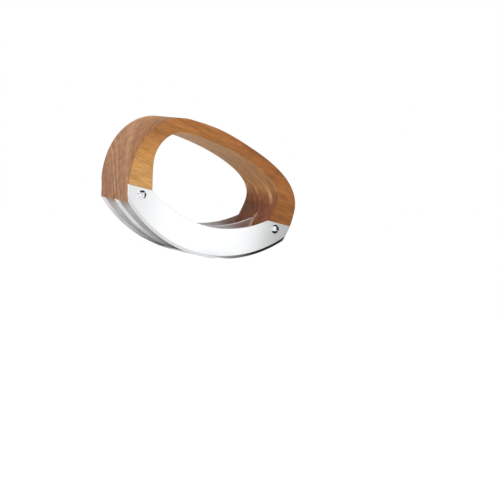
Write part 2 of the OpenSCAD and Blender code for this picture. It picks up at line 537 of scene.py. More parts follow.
def new_group(
    name: str, sizes: tuple[str, ...], steels: tuple[str, ...]
) -> tuple[NodeTree, NodeOutputs]:
    """Makes a Geometry Nodes group that puts out a shape.

    Args:
        name: The group's name.
        sizes: The names of its inputs that are numbers.
        steels: The names of its inputs that are materials.

    Returns:
        The group, and its inputs as the nodes inside it see them.
    """
    tree = bpy.data.node_groups.new(name, "GeometryNodeTree")
    tree.interface.new_socket("Geometry", in_out="OUTPUT", socket_type="NodeSocketGeometry")
    for kind, names in (("NodeSocketFloat", sizes), ("NodeSocketMaterial", steels)):
        for input_name in names:
            tree.interface.new_socket(input_name, in_out="INPUT", socket_type=kind)
    return tree, add_node(tree, "NodeGroupInput").outputs


def write_faced_out(work: BMesh, mesh: Mesh) -> None:
    """Turns a closed mesh's faces outwards and writes it to the mesh's data.

    Args:
        work: The mesh being worked on, which is freed.
        mesh: The data that takes it.
    """
    bmesh.ops.recalc_face_normals(work, faces=work.faces)
    work.to_mesh(mesh)
    work.free()


def show(name: str, work: BMesh | None = None) -> Object:
    """Puts an object in the scene, at the origin.

    Args:
        name: The object's name.
        work: Its mesh, with its place in its points, or None for an empty one.

    Returns:
        The object.
    """
    mesh = bpy.data.meshes.new(name)
    if work is not None:
        write_faced_out(work, mesh)
    piece = bpy.data.objects.new(name, mesh)
    bpy.context.scene.collection.objects.link(piece)
    return piece


def settle(piece: Object) -> None:
    """Turns what a piece's modifiers make into its plain mesh, without an empty material slot.

    Args:
        piece: The object, whose modifiers are removed.
    """
    depsgraph = bpy.context.evaluated_depsgraph_get()
    evaluated = piece.evaluated_get(depsgraph)
    mesh = bpy.data.meshes.new_from_object(
        evaluated, preserve_all_data_layers=True, depsgraph=depsgraph
    )
    piece.modifiers.clear()
    piece.data = mesh
    mesh.name = piece.name
    if len(mesh.materials) > 1 and mesh.materials[0] is None:
        mesh.materials.pop(index=0)


def run_tree(piece: Object, tree: NodeTree, values: dict[str, Any]) -> None:
    """Makes a piece's mesh with a Geometry Nodes tree.

    Args:
        piece: An object with an empty mesh.
        tree: The node group.
        values: What each of the group's inputs takes, by its name.
    """
    modifier = piece.modifiers.new(tree.name, "NODES")
    modifier.node_group = tree
    for item in tree.interface.items_tree:
        if item.in_out == "INPUT":
            modifier[item.identifier] = values[item.name]
    settle(piece)
    work = bmesh.new()
    work.from_mesh(piece.data)
    write_faced_out(work, piece.data)


def cut_away(piece: Object, cutters: list[Object]) -> None:
    """Cuts shapes out of a piece, whose cut faces take the cutter's material.

    Args:
        piece: The object.
        cutters: The shapes to take away.
    """
    for cutter in cutters:
        cut = piece.modifiers.new(cutter.name, "BOOLEAN")
        cut.operation = "DIFFERENCE"
        cut.solver = "EXACT"
        cut.material_mode = "TRANSFER"
        cut.object = cutter
    settle(piece)


def shade(piece: Object, crease: float) -> None:
    """Shades a piece smoothly, apart from edges that turn by more than an angle.

    Args:
        piece: The object.
        crease: The angle in degrees.
    """
    piece.data.shade_smooth()
    piece.data.set_sharp_from_angle(angle=math.radians(crease))
    piece.modifiers.new("even_normals", "WEIGHTED_NORMAL").keep_sharp = True
    settle(piece)


def take_on(piece: Object, node: str) -> None:
    """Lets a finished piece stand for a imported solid.

    Args:
        piece: The object.
        node: The name of the solid.
    """
    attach(piece, BODY)
    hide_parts(node)
    log.info("%s: %d faces, for %s", piece.name, len(piece.data.polygons), node)


def prism(
    work: BMesh,
    outline: list[tuple[float, float]],
    span: tuple[float, float],
    material_index: int = 0,
) -> None:
    """Adds an upright prism, drawn in X and Z and reaching along Y, to a mesh.

    Args:
        work: The mesh.
        outline: The corners in X and Z, in millimetres.
        span: Where it begins and ends along Y, in millimetres.
        material_index: Which of the mesh's materials its faces take.
    """
    near, far = ([work.verts.new((x * MM, y * MM, z * MM)) for x, z in outline] for y in span)
    faces = [work.faces.new(near), work.faces.new(far[::-1])]
    for i, corner in enumerate(near):
        j = (i + 1) % len(outline)
        faces.append(work.faces.new((near[j], corner, far[i], far[j])))
    for face in faces:
        face.material_index = material_index


@dataclass
class Rivets:
    """The two rivets, each a socket half from the front and a pin half from the rear."""

    half_span: float
    height: float
    head_radius: float
    head_height: float
    face_y: float
    shank_radius: float = 2.0
    nose_radius: float = 1.25
    halves_meet_y: float = 6.0
    nose_length: float = 10.0
    bore_depth: float = 11.0
    dome_steepness: float = 1.8
    dome_fullness: float = 0.85
    seam_gap: float = 0.002
    crease: float = 35.0
    sides: int = 64
    dome_rows: int = 14
    inner_rows: int = 5

    @classmethod
    def from_frame(cls) -> "Rivets":
        """Reads the rivets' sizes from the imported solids.

        Returns:
            The rivets.
        """
        low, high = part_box("right_rivet_socket")
        blade_low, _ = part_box(Plate.FRONT.value)
        return cls(
            half_span=(low.x + high.x) / 2 / MM,
            height=(low.z + high.z) / 2 / MM,
            head_radius=(high.x - low.x) / 2 / MM,
            head_height=(blade_low.y - low.y) / MM,
            face_y=-blade_low.y / MM,
        )

    def tree(self) -> NodeTree:
        """Builds the Geometry Nodes tree that turns one rivet half from its sizes.

        A flat grid is wrapped round the rivet's axis. Its rows follow the profile: over the
        dome, in under the head, down the shank, and into the core, which is a bore if its
        reach is negative and a nose if it is positive.

        Returns:
            The node group.
        """
        names = (
            "Centre X", "Centre Z", "Face Y", "Head Way", "Head Radius", "Head Height",
            "Shank Radius", "Shank Length", "Core Radius", "Core Reach",
        )
        tree, sizes = new_group("domed_rivet_half", names, ("Steel",))
        profile_rows = self.dome_rows + self.inner_rows
        grid = add_node(
            tree,
            "GeometryNodeMeshGrid",
            {
                "Size X": 1.0,
                "Size Y": float(profile_rows),
                "Vertices X": self.sides + 1,
                "Vertices Y": profile_rows + 1,
            },
        )
        here = add_node(tree, "GeometryNodeInputPosition")
        flat = add_node(tree, "ShaderNodeSeparateXYZ", {"Vector": here}).outputs
        turn = add_node(tree, "ShaderNodeMath", {0: flat["X"], 1: 2 * math.pi}, operation="MULTIPLY")
        row = add_node(tree, "ShaderNodeMath", {0: flat["Y"], 1: profile_rows / 2}, operation="ADD")
        over_dome = stretch(row, 0.0, float(self.dome_rows), to_end=math.pi / 2)
        quarter = add_node(tree, "ShaderNodeMapRange", over_dome)
        out = add_node(tree, "ShaderNodeMath", {0: quarter}, operation="SINE")
        dome = {0: out, 1: sizes["Head Radius"]}
        dome_radius = add_node(tree, "ShaderNodeMath", dome, operation="MULTIPLY")
        steep = add_node(tree, "ShaderNodeMath", {0: out, 1: self.dome_steepness}, operation="POWER")
        fall = add_node(tree, "ShaderNodeMath", {0: 1.0, 1: steep}, operation="SUBTRACT", use_clamp=True)
        rise = add_node(tree, "ShaderNodeMath", {0: fall, 1: self.dome_fullness}, operation="POWER")
        dome = {0: rise, 1: sizes["Head Height"]}
        dome_height = add_node(tree, "ShaderNodeMath", dome, operation="MULTIPLY")
        past_dome = {0: row, 1: float(self.dome_rows)}
        past = add_node(tree, "ShaderNodeMath", past_dome, operation="SUBTRACT")
        step = add_node(tree, "ShaderNodeMath", {0: past, 1: 0.0}, operation="MAXIMUM")
        end = add_node(tree, "ShaderNodeMath", {0: 0.0, 1: sizes["Shank Length"]}, operation="SUBTRACT")
        core_end = add_node(tree, "ShaderNodeMath", {0: end, 1: sizes["Core Reach"]}, operation="SUBTRACT")
        shank, core = sizes["Shank Radius"], sizes["Core Radius"]
        radius = self.by_step(tree, step, [dome_radius, shank, shank, core, core, 0.0])
        height = self.by_step(tree, step, [dome_height, 0.0, end, end, core_end, core_end])
        reach = add_node(tree, "ShaderNodeMath", {0: sizes["Head Way"], 1: radius}, operation="MULTIPLY")
        cosine = add_node(tree, "ShaderNodeMath", {0: turn}, operation="COSINE")
        sine = add_node(tree, "ShaderNodeMath", {0: turn}, operation="SINE")
        place = add_node(tree, "ShaderNodeCombineXYZ")
        for axis, factors in {
            "X": {0: cosine, 1: reach, 2: sizes["Centre X"]},
            "Y": {0: height, 1: sizes["Head Way"], 2: sizes["Face Y"]},
            "Z": {0: sine, 1: radius, 2: sizes["Centre Z"]},
        }.items():
            summed = add_node(tree, "ShaderNodeMath", factors, operation="MULTIPLY_ADD")
            tree.links.new(summed.outputs[0], place.inputs[axis])
        metres = add_node(tree, "ShaderNodeVectorMath", {0: place, "Scale": MM}, operation="SCALE")
        turned = add_node(tree, "GeometryNodeSetPosition", {"Geometry": grid, "Position": metres})
        seam = {"Geometry": turned, "Distance": self.seam_gap * MM}
        closed = add_node(tree, "GeometryNodeMergeByDistance", seam)
        real = add_node(tree, "GeometryNodeRealizeInstances", {"Geometry": closed})
        finish = {"Geometry": real, "Material": sizes["Steel"]}
        dressed = add_node(tree, "GeometryNodeSetMaterial", finish)
        add_node(tree, "NodeGroupOutput", {"Geometry": dressed})
        return tree

    @staticmethod
    def by_step(tree: NodeTree, step: Node, values: list[Any]) -> Node:
        """Adds a switch that picks a value by the profile's step.

        Args:
            tree: The node group.
            step: The step's number, from 0.
            values: A node, a socket or a number for each step.

        Returns:
            The switch.
        """
        switch = add_node(tree, "GeometryNodeIndexSwitch", {"Index": step}, data_type="FLOAT")
        while len(switch.index_switch_items) < len(values):
            switch.index_switch_items.new()
        for i, value in enumerate(values, start=1):
            if isinstance(value, float):
                switch.inputs[i].default_value = value
            else:
                socket = value.outputs[0] if isinstance(value, Node) else value
                tree.links.new(socket, switch.inputs[i])
        return switch

    def build(self, tree: NodeTree, side: Side, half: RivetHalf, steel: Material) -> None:
        """Turns one half of one rivet and lets it stand for its solid.

        Args:
            tree: The node group from tree().
            side: Which rivet.
            half: Which half of it.
            steel: The rivet's material.
        """
        node_name, way = half.value
        node = f"{side.name.lower()}_{node_name}"
        values = {
            "Centre X": side.value * self.half_span,
            "Centre Z": self.height,
            "Face Y": way * self.face_y,
            "Head Way": float(way),
            "Head Radius": self.head_radius,
            "Head Height": self.head_height,
            "Shank Radius": self.shank_radius,
            "Shank Length": self.face_y - way * self.halves_meet_y,
            "Core Radius": self.nose_radius,
            "Core Reach": -self.bore_depth if half is RivetHalf.SOCKET else self.nose_length,
            "Steel": steel,
        }
        piece = show(f"{node}_turned")
        run_tree(piece, tree, values)
        shade(piece, self.crease)
        take_on(piece, node)


@dataclass
class Blade:
    """One crescent plate, ground on both sides of its cutting edge.

    Its points lie in rows, which count up from 0 at the cutting edge. What has a row number
    under edge_rows belongs to the edge, and what is under bevel_rows to the bevels.
    """

    plate: Plate
    half_length: float
    shoulder_z: float
    thickness: float
    centre_y: float
    end_lean: float = 0.264
    edge_radius: float = 104.0
    hollow_radius: float = 91.5
    middle_width: float = 23.4
    bevel_width: float = 2.3
    edge_flat: float = 0.15
    hollow_share: float = 0.7
    eased_edge: float = 0.14
    square_turn: float = 40.0
    seam_gap: float = 0.0001
    crease: float = 12.0
    columns: int = 200
    rows: int = 12
    edge_rows: float = 0.5
    bevel_rows: float = 0.9

    @classmethod
    def from_frame(cls, plate: Plate) -> "Blade":
        """Reads one blade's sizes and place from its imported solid.

        Args:
            plate: Which blade.

        Returns:
            The blade.
        """
        low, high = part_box(plate.value)
        return cls(
            plate=plate,
            half_length=high.x / MM,
            shoulder_z=high.z / MM,
            thickness=(high.y - low.y) / MM,
            centre_y=(high.y + low.y) / 2 / MM,
        )

    def half_at(self, radius: float) -> float:
        """Finds where the leaning end meets a circle round the cutting edge's centre.

        Args:
            radius: The circle's radius.

        Returns:
            How far that point lies from the middle.
        """
        top = Vector((self.half_length, self.shoulder_z - self.edge_radius))
        down = Vector((-self.end_lean, -1.0))
        a, b, c = down.dot(down), 2 * top.dot(down), top.dot(top) - radius**2
        drop = (-b + math.sqrt(b * b - 4 * a * c)) / (2 * a)
        return top.x + drop * down.x

    @property
    def hollow_half(self) -> float:
        """Half the length of the hollow upper edge, between the straight shoulders."""
        rise = self.middle_width + self.hollow_radius - self.shoulder_z
        return math.sqrt(self.hollow_radius**2 - rise**2)

    @classmethod
    def tree(cls) -> NodeTree:
        """Builds the Geometry Nodes tree that makes one crescent plate from its sizes.

        A grid becomes a closed slab, one unit thick. Its columns are then spread along the
        blade and its rows from the cutting edge to the upper edge: row 0 is the edge, row 1
        the line where the bevel begins, and the last one the hollow and the shoulders.

        Returns:
            The node group.
        """
        names = (
            "Centre Y", "Thickness", "Half Length", "Edge Radius", "Edge Half", "Edge Flat",
            "Bevel Width", "Bevel Half", "Hollow Radius", "Hollow Half", "Middle Width",
        )
        tree, sizes = new_group("crescent_plate", names, ("Face Steel", "Ground Steel"))
        grid = add_node(
            tree,
            "GeometryNodeMeshGrid",
            {
                "Size X": 2.0,
                "Size Y": float(cls.rows),
                "Vertices X": cls.columns + 1,
                "Vertices Y": cls.rows + 1,
            },
        )
        here = add_node(tree, "GeometryNodeInputPosition")
        flat = add_node(tree, "ShaderNodeSeparateXYZ", {"Vector": here}).outputs
        row_number = add_node(tree, "ShaderNodeMath", {0: flat["Y"], 1: cls.rows / 2}, operation="ADD")
        numbered = add_node(
            tree,
            "GeometryNodeStoreNamedAttribute",
            {"Geometry": grid, "Name": "row", "Value": row_number},
            data_type="FLOAT",
            domain="POINT",
        )
        lift = {"Mesh": numbered, "Offset Scale": 1.0, "Individual": False}
        raised = add_node(tree, "GeometryNodeExtrudeMesh", lift, mode="FACES")
        base = add_node(tree, "GeometryNodeFlipFaces", {"Mesh": numbered})
        both = add_node(tree, "GeometryNodeJoinGeometry", {"Geometry": raised})
        tree.links.new(base.outputs["Mesh"], both.inputs["Geometry"])
        seam = {"Geometry": both, "Distance": cls.seam_gap}
        slab = add_node(tree, "GeometryNodeMergeByDistance", seam)
        row = add_node(tree, "GeometryNodeInputNamedAttribute", {"Name": "row"}, data_type="FLOAT")
        place = cls.plate_place(tree, sizes, flat, row)
        shaped = add_node(tree, "GeometryNodeSetPosition", {"Geometry": slab, "Position": place})
        eased = cls.mark_eased_edges(tree, shaped, row)
        real = add_node(tree, "GeometryNodeRealizeInstances", {"Geometry": eased})
        finish = {"Geometry": real, "Material": sizes["Face Steel"]}
        faced = add_node(tree, "GeometryNodeSetMaterial", finish)
        ground = add_node(tree, "ShaderNodeMath", {0: row, 1: cls.bevel_rows}, operation="LESS_THAN")
        finish = {"Geometry": faced, "Selection": ground, "Material": sizes["Ground Steel"]}
        dressed = add_node(tree, "GeometryNodeSetMaterial", finish)
        add_node(tree, "NodeGroupOutput", {"Geometry": dressed})
        return tree

    @classmethod
    def plate_place(cls, tree: NodeTree, sizes: NodeOutputs, flat: NodeOutputs, row: Node) -> Node:
        """Adds the nodes that give a slab's point its place on the blade.

        Args:
            tree: The node group.
            sizes: The group's inputs.
            flat: The point's place on the slab, apart.
            row: The point's row number.

        Returns:
            The node whose output is the place in metres.
        """
        edge = add_node(tree, "ShaderNodeMath", {0: row, 1: cls.edge_rows}, operation="LESS_THAN")
        halves = {"Factor": edge, "A": sizes["Bevel Half"], "B": sizes["Edge Half"]}
        low_half = add_node(tree, "ShaderNodeMix", halves)
        ground = {0: sizes["Edge Radius"], 1: sizes["Bevel Width"]}
        inner = add_node(tree, "ShaderNodeMath", ground, operation="SUBTRACT")
        radii = {"Factor": edge, "A": inner, "B": sizes["Edge Radius"]}
        low_radius = add_node(tree, "ShaderNodeMix", radii)
        low_x = add_node(tree, "ShaderNodeMath", {0: flat["X"], 1: low_half}, operation="MULTIPLY")
        low_depth = cls.chord_depth(tree, low_radius, low_x)
        fall = {0: sizes["Edge Radius"], 1: low_depth}
        low_z = add_node(tree, "ShaderNodeMath", fall, operation="SUBTRACT")
        out = add_node(tree, "ShaderNodeMath", {0: flat["X"]}, operation="ABSOLUTE")
        to_hollow = stretch(out, 0.0, cls.hollow_share, to_end=sizes["Hollow Half"])
        in_hollow = add_node(tree, "ShaderNodeMapRange", to_hollow)
        level = {0: sizes["Half Length"], 1: sizes["Hollow Half"]}
        shoulder = add_node(tree, "ShaderNodeMath", level, operation="SUBTRACT")
        past_hollow = stretch(out, cls.hollow_share, 1.0, to_end=shoulder)
        on_shoulder = add_node(tree, "ShaderNodeMapRange", past_hollow)
        high_out = add_node(tree, "ShaderNodeMath", {0: in_hollow, 1: on_shoulder}, operation="ADD")
        way = add_node(tree, "ShaderNodeMath", {0: flat["X"]}, operation="SIGN")
        high_x = add_node(tree, "ShaderNodeMath", {0: high_out, 1: way}, operation="MULTIPLY")
        above = {0: sizes["Middle Width"], 1: sizes["Hollow Radius"]}
        centre_z = add_node(tree, "ShaderNodeMath", above, operation="ADD")
        hollow_depth = cls.chord_depth(tree, sizes["Hollow Radius"], in_hollow)
        high_z = add_node(tree, "ShaderNodeMath", {0: centre_z, 1: hollow_depth}, operation="SUBTRACT")
        up = add_node(tree, "ShaderNodeMapRange", stretch(row, 1.0, float(cls.rows)))
        x = add_node(tree, "ShaderNodeMix", {"Factor": up, "A": low_x, "B": high_x})
        z = add_node(tree, "ShaderNodeMix", {"Factor": up, "A": low_z, "B": high_z})
        gauge = {"Factor": edge, "A": sizes["Thickness"], "B": sizes["Edge Flat"]}
        thick = add_node(tree, "ShaderNodeMix", gauge)
        back = add_node(tree, "ShaderNodeMath", {0: 0.5, 1: flat["Z"]}, operation="SUBTRACT")
        level = {0: back, 1: thick, 2: sizes["Centre Y"]}
        y = add_node(tree, "ShaderNodeMath", level, operation="MULTIPLY_ADD")
        place = add_node(tree, "ShaderNodeCombineXYZ", {"X": x, "Y": y, "Z": z})
        return add_node(tree, "ShaderNodeVectorMath", {0: place, "Scale": MM}, operation="SCALE")

    @staticmethod
    def chord_depth(tree: NodeTree, radius: Any, x: Node) -> Node:
        """Adds the nodes for how far below its centre a circle lies, beside the centre by x.

        Args:
            tree: The node group.
            radius: The circle's radius.
            x: How far the point lies beside the centre.

        Returns:
            The node whose output is the depth.
        """
        beside = add_node(tree, "ShaderNodeMath", {0: x, 1: x}, operation="MULTIPLY")
        whole = add_node(tree, "ShaderNodeMath", {0: radius, 1: radius}, operation="MULTIPLY")
        left = add_node(tree, "ShaderNodeMath", {0: whole, 1: beside}, operation="SUBTRACT")
        return add_node(tree, "ShaderNodeMath", {0: left}, operation="SQRT")

    @classmethod
    def mark_eased_edges(cls, tree: NodeTree, plate: Node, row: Node) -> Node:
        """Adds the nodes that mark the plate's square edges, away from the cutting edge.

        Args:
            tree: The node group.
            plate: The shaped plate.
            row: A point's row number.

        Returns:
            The node whose output is the plate, its edges marked for the bevel.
        """
        turn = add_node(tree, "GeometryNodeInputMeshEdgeAngle")
        sharp = {0: turn, 1: math.radians(cls.square_turn)}
        square = add_node(tree, "ShaderNodeMath", sharp, operation="GREATER_THAN")
        above = add_node(tree, "ShaderNodeMath", {0: row, 1: cls.bevel_rows}, operation="GREATER_THAN")
        weight = add_node(tree, "ShaderNodeMath", {0: square, 1: above}, operation="MULTIPLY")
        return add_node(
            tree,
            "GeometryNodeStoreNamedAttribute",
            {"Geometry": plate, "Name": "bevel_weight_edge", "Value": weight},
            data_type="FLOAT",
            domain="EDGE",
        )

    def build(
        self,
        tree: NodeTree,
        face_steel: Material,
        ground_steel: Material,
        bores: Object,
    ) -> None:
        """Makes the blade and lets it stand for its solid.

        Args:
            tree: The node group from tree().
            face_steel: The material of its faces.
            ground_steel: The material of its bevels.
            bores: What the rivets' holes take away.
        """
        values = {
            "Centre Y": self.centre_y,
            "Thickness": self.thickness,
            "Half Length": self.half_length,
            "Edge Radius": self.edge_radius,
            "Edge Half": self.half_at(self.edge_radius),
            "Edge Flat": self.edge_flat,
            "Bevel Width": self.bevel_width,
            "Bevel Half": self.half_at(self.edge_radius - self.bevel_width),
            "Hollow Radius": self.hollow_radius,
            "Hollow Half": self.hollow_half,
            "Middle Width": self.middle_width,
            "Face Steel": face_steel,
            "Ground Steel": ground_steel,
        }
        node = self.plate.value
        piece = show(f"{node}_ground")
        run_tree(piece, tree, values)
        easing = piece.modifiers.new("eased_edges", "BEVEL")
        easing.limit_method = "WEIGHT"
        easing.width = self.eased_edge * MM
        easing.segments = 2
        easing.use_clamp_overlap = False
        cut_away(piece, [bores])
        shade(piece, self.crease)
        take_on(piece, node)


@dataclass(frozen=True)
class Anchor:
    """A place on an outline, the curve's heading there in degrees, and its two handles."""

    x: float
    z: float
    heading: float
    reach_in: float
    reach_out: float

    def at(self, reach: float) -> Vector:
        """Gives the point that lies a reach ahead along the heading, or behind if negative."""
        turn = math.radians(self.heading)
        return Vector((self.x + reach * math.cos(turn), self.z + reach * math.sin(turn)))


@dataclass
class WoodArch:
    """The handle: one block cut to a lopsided arch, rebated and sawn for the blades."""

    flank_x: float
    crown_z: float
    depth: float
    foot_z: float
    shoulder_z: float
    blade_thickness: float
    crown_x: float = -34.0
    foot_inset: float = 4.1
    foot_band: float = 19.0
    crown_band: float = 10.7
    slope_band: float = 9.8
    left_flank_band: float = 17.2
    right_flank_band: float = 18.4
    left_flank_z: float = 51.4
    right_flank_z: float = 50.5
    left_finger_z: float = 63.3
    right_finger_z: float = 55.0
    slope_x: float = 26.0
    slope_drop: float = 9.0
    slope_heading: float = -16.0
    arris: float = 1.0
    kerf_front: float = -0.8
    kerf_rear: float = 1.15
    kerf_runout_z: float = 43.5
    bore_radius: float = 2.05
    past: float = 5.0
    crease: float = 32.0
    sections: int = 260
    arris_steps: int = 4
    flat_steps: int = 6
    curve_steps: int = 48
    bore_sides: int = 48

    @classmethod
    def from_frame(cls) -> "WoodArch":
        """Reads the handle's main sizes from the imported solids.

        Returns:
            The arch.
        """
        low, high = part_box("handle")
        blade_low, blade_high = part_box(Plate.FRONT.value)
        return cls(
            flank_x=high.x / MM,
            crown_z=high.z / MM,
            depth=2 * -blade_low.y / MM,
            foot_z=low.z / MM,
            shoulder_z=blade_high.z / MM,
            blade_thickness=(blade_high.y - blade_low.y) / MM,
        )

    @property
    def foot_outer(self) -> float:
        """How far the feet's outer corners lie from the middle."""
        return self.flank_x - self.foot_inset

    @property
    def foot_inner(self) -> float:
        """How far the feet's inner corners lie from the middle."""
        return self.foot_outer - self.foot_band

    def outer_anchors(self) -> list[Anchor]:
        """Lists the anchors of the outside.

        Returns:
            The anchors, from the left foot to the right one.
        """
        slope_z = self.crown_z - self.slope_drop
        return [
            Anchor(-self.foot_outer, self.foot_z, 100, 0, 8),
            Anchor(-self.flank_x, self.left_flank_z, 90, 11.5, 27.5),
            Anchor(self.crown_x, self.crown_z, 0, 21.5, 26),
            Anchor(self.slope_x, slope_z, self.slope_heading, 26, 22.5),
            Anchor(self.flank_x, self.right_flank_z, -90, 21.5, 13.5),
            Anchor(self.foot_outer, self.foot_z, -100, 8, 0),
        ]

    def finger_anchors(self) -> list[Anchor]:
        """Lists the anchors of the finger hole.

        Returns:
            The anchors, from the left foot to the right one.
        """
        slope_z = self.crown_z - self.slope_drop
        fall = math.radians(self.slope_heading)
        under_x = self.slope_x + self.slope_band * math.sin(fall)
        under_z = slope_z - self.slope_band * math.cos(fall)
        return [
            Anchor(-self.foot_inner, self.foot_z, 84, 0, 10),
            Anchor(self.left_flank_band - self.flank_x, self.left_finger_z, 90, 11, 12),
            Anchor(self.crown_x, self.crown_z - self.crown_band, 0, 13.5, 21),
            Anchor(under_x, under_z, self.slope_heading, 17, 17),
            Anchor(self.flank_x - self.right_flank_band, self.right_finger_z, -90, 12.5, 9),
            Anchor(self.foot_inner, self.foot_z, -84, 9, 0),
        ]

    def stations(self, anchors: list[Anchor]) -> list[tuple[Vector, Vector]]:
        """Walks along an outline in equal steps.

        Args:
            anchors: The outline's anchors, left to right.

        Returns:
            For each step the point in X and Z, and the unit vector to the left of the walk.
        """
        path: list[Vector] = []
        for a, b in zip(anchors, anchors[1:]):
            knots = (a.at(0), a.at(a.reach_out), b.at(-b.reach_in), b.at(0))
            path.extend(interpolate_bezier(*knots, self.curve_steps)[:-1])
        path.append(anchors[-1].at(0))
        walked = [0.0]
        for p, q in zip(path, path[1:]):
            walked.append(walked[-1] + (q - p).length)
        points: list[Vector] = []
        at = 0
        for k in range(self.sections + 1):
            goal = walked[-1] * k / self.sections
            while at < len(path) - 2 and walked[at + 1] < goal:
                at += 1
            share = (goal - walked[at]) / (walked[at + 1] - walked[at])
            points.append(path[at].lerp(path[at + 1], share))
        result: list[tuple[Vector, Vector]] = []
        for k, point in enumerate(points):
            ahead = points[min(k + 1, self.sections)] - points[max(k - 1, 0)]
            result.append((point, Vector((-ahead.y, ahead.x)).normalized()))
        return result

    def rounded(self, point: Vector, outward: Vector, side: int) -> list[Vector]:
        """Rounds one arris of a cross-section.

        Args:
            point: The outline's point in X and Z.
            outward: The unit vector out of the wood there.
            side: -1 for the front arris and 1 for the rear one.

        Returns:
            Points from the flank over to the flat face.
        """
        points = []
        for k in range(self.arris_steps + 1):
            angle = math.radians(90 * k / self.arris_steps)
            flat = point - outward * self.arris * (1 - math.cos(angle))
            depth = side * (self.depth / 2 - self.arris * (1 - math.sin(angle)))
            points.append(Vector((flat.x, depth, flat.y)))
        return points

    def section(self, outer: tuple[Vector, Vector], inner: tuple[Vector, Vector]) -> list[Vector]:
        """Lists the points round one cross-section of the arch.

        Args:
            outer: The outside's point and the unit vector out of the wood there.
            inner: The finger hole's point and the unit vector into the wood there.

        Returns:
            The points, round the section.
        """
        outer_front = self.rounded(*outer, -1)
        outer_rear = self.rounded(*outer, 1)
        inner_front = self.rounded(inner[0], -inner[1], -1)
        inner_rear = self.rounded(inner[0], -inner[1], 1)
        ring = outer_front[::-1] + self.between(outer_front[0], outer_rear[0])
        ring += outer_rear + self.between(outer_rear[-1], inner_rear[-1])
        ring += inner_rear[::-1] + self.between(inner_rear[0], inner_front[0])
        ring += inner_front + self.between(inner_front[-1], outer_front[-1])
        return ring

    def between(self, start: Vector, end: Vector) -> list[Vector]:
        """Spreads points evenly between two others, without the two."""
        return [start.lerp(end, k / self.flat_steps) for k in range(1, self.flat_steps)]

    def block(self) -> Object:
        """Makes the whole arch with rounded arrises, before it is rebated and sawn.

        Returns:
            The arch.
        """
        outer = self.stations(self.outer_anchors())
        inner = self.stations(self.finger_anchors())
        work = bmesh.new()
        rings = []
        for k, pair in enumerate(zip(outer, inner)):
            points = self.section(*pair)
            if k in (0, self.sections):
                for point in points:
                    point.z = self.foot_z
            rings.append([work.verts.new(point * MM) for point in points])
        count = len(rings[0])
        for near, far in zip(rings, rings[1:]):
            for i in range(count):
                j = (i + 1) % count
                work.faces.new((near[i], near[j], far[j], far[i]))
        work.faces.new(rings[0])
        work.faces.new(rings[-1])
        return show("handle_arch", work)

    def cuts(self, wood: Material, raw_wood: Material) -> Object:
        """Builds what is cut out of the block for the blades: two rebates and two kerfs.

        The left kerf is darkened by the oil. The right one is left raw, and shows its pale
        rear wall above the middle blade.

        Args:
            wood: The material of the oiled cuts.
            raw_wood: The material of the raw cut.

        Returns:
            One object with the shapes to take away.
        """
        work = bmesh.new()
        wide = self.flank_x + self.past
        low = self.foot_z - self.past
        face = self.depth / 2
        floor_y = face - self.blade_thickness
        rebate = [(-wide, low), (wide, low), (wide, self.shoulder_z), (-wide, self.shoulder_z)]
        prism(work, rebate, (-face - self.past, -floor_y))
        prism(work, rebate, (floor_y, face + self.past))
        for side in Side:
            kerf = [
                (wide, low),
                (wide, self.shoulder_z),
                (self.foot_outer, self.shoulder_z),
                (self.foot_inner, self.kerf_runout_z),
                (self.foot_inner - self.past, self.kerf_runout_z),
                (self.foot_inner - self.past, low),
            ]
            outline = [(side.value * x, z) for x, z in kerf]
            prism(work, outline, (self.kerf_front, self.kerf_rear), int(side is Side.RIGHT))
        cuts = show("cuts", work)
        cuts.data.materials.append(wood)
        cuts.data.materials.append(raw_wood)
        return cuts

    def bores(self, rivets: Rivets) -> Object:
        """Builds the two round bores that the rivets pass through.

        Args:
            rivets: The rivets.

        Returns:
            One object with both cylinders.
        """
        work = bmesh.new()
        upright = Matrix.Rotation(math.radians(90), 4, "X")
        for side in Side:
            place = Vector((side.value * rivets.half_span, 0, rivets.height)) * MM
            bmesh.ops.create_cone(
                work,
                cap_ends=True,
                segments=self.bore_sides,
                radius1=self.bore_radius * MM,
                radius2=self.bore_radius * MM,
                depth=(self.depth + self.past) * MM,
                matrix=Matrix.Translation(place) @ upright,
            )
        return show("bores", work)

    def build(self, wood: Material, cutters: list[Object]) -> None:
        """Makes the handle and lets it stand for its solid.

        Args:
            wood: The handle's material.
            cutters: What is taken out of the block.
        """
        piece = self.block()
        piece.data.materials.append(wood)
        cut_away(piece, cutters)
        shade(piece, self.crease)
        take_on(piece, "handle")


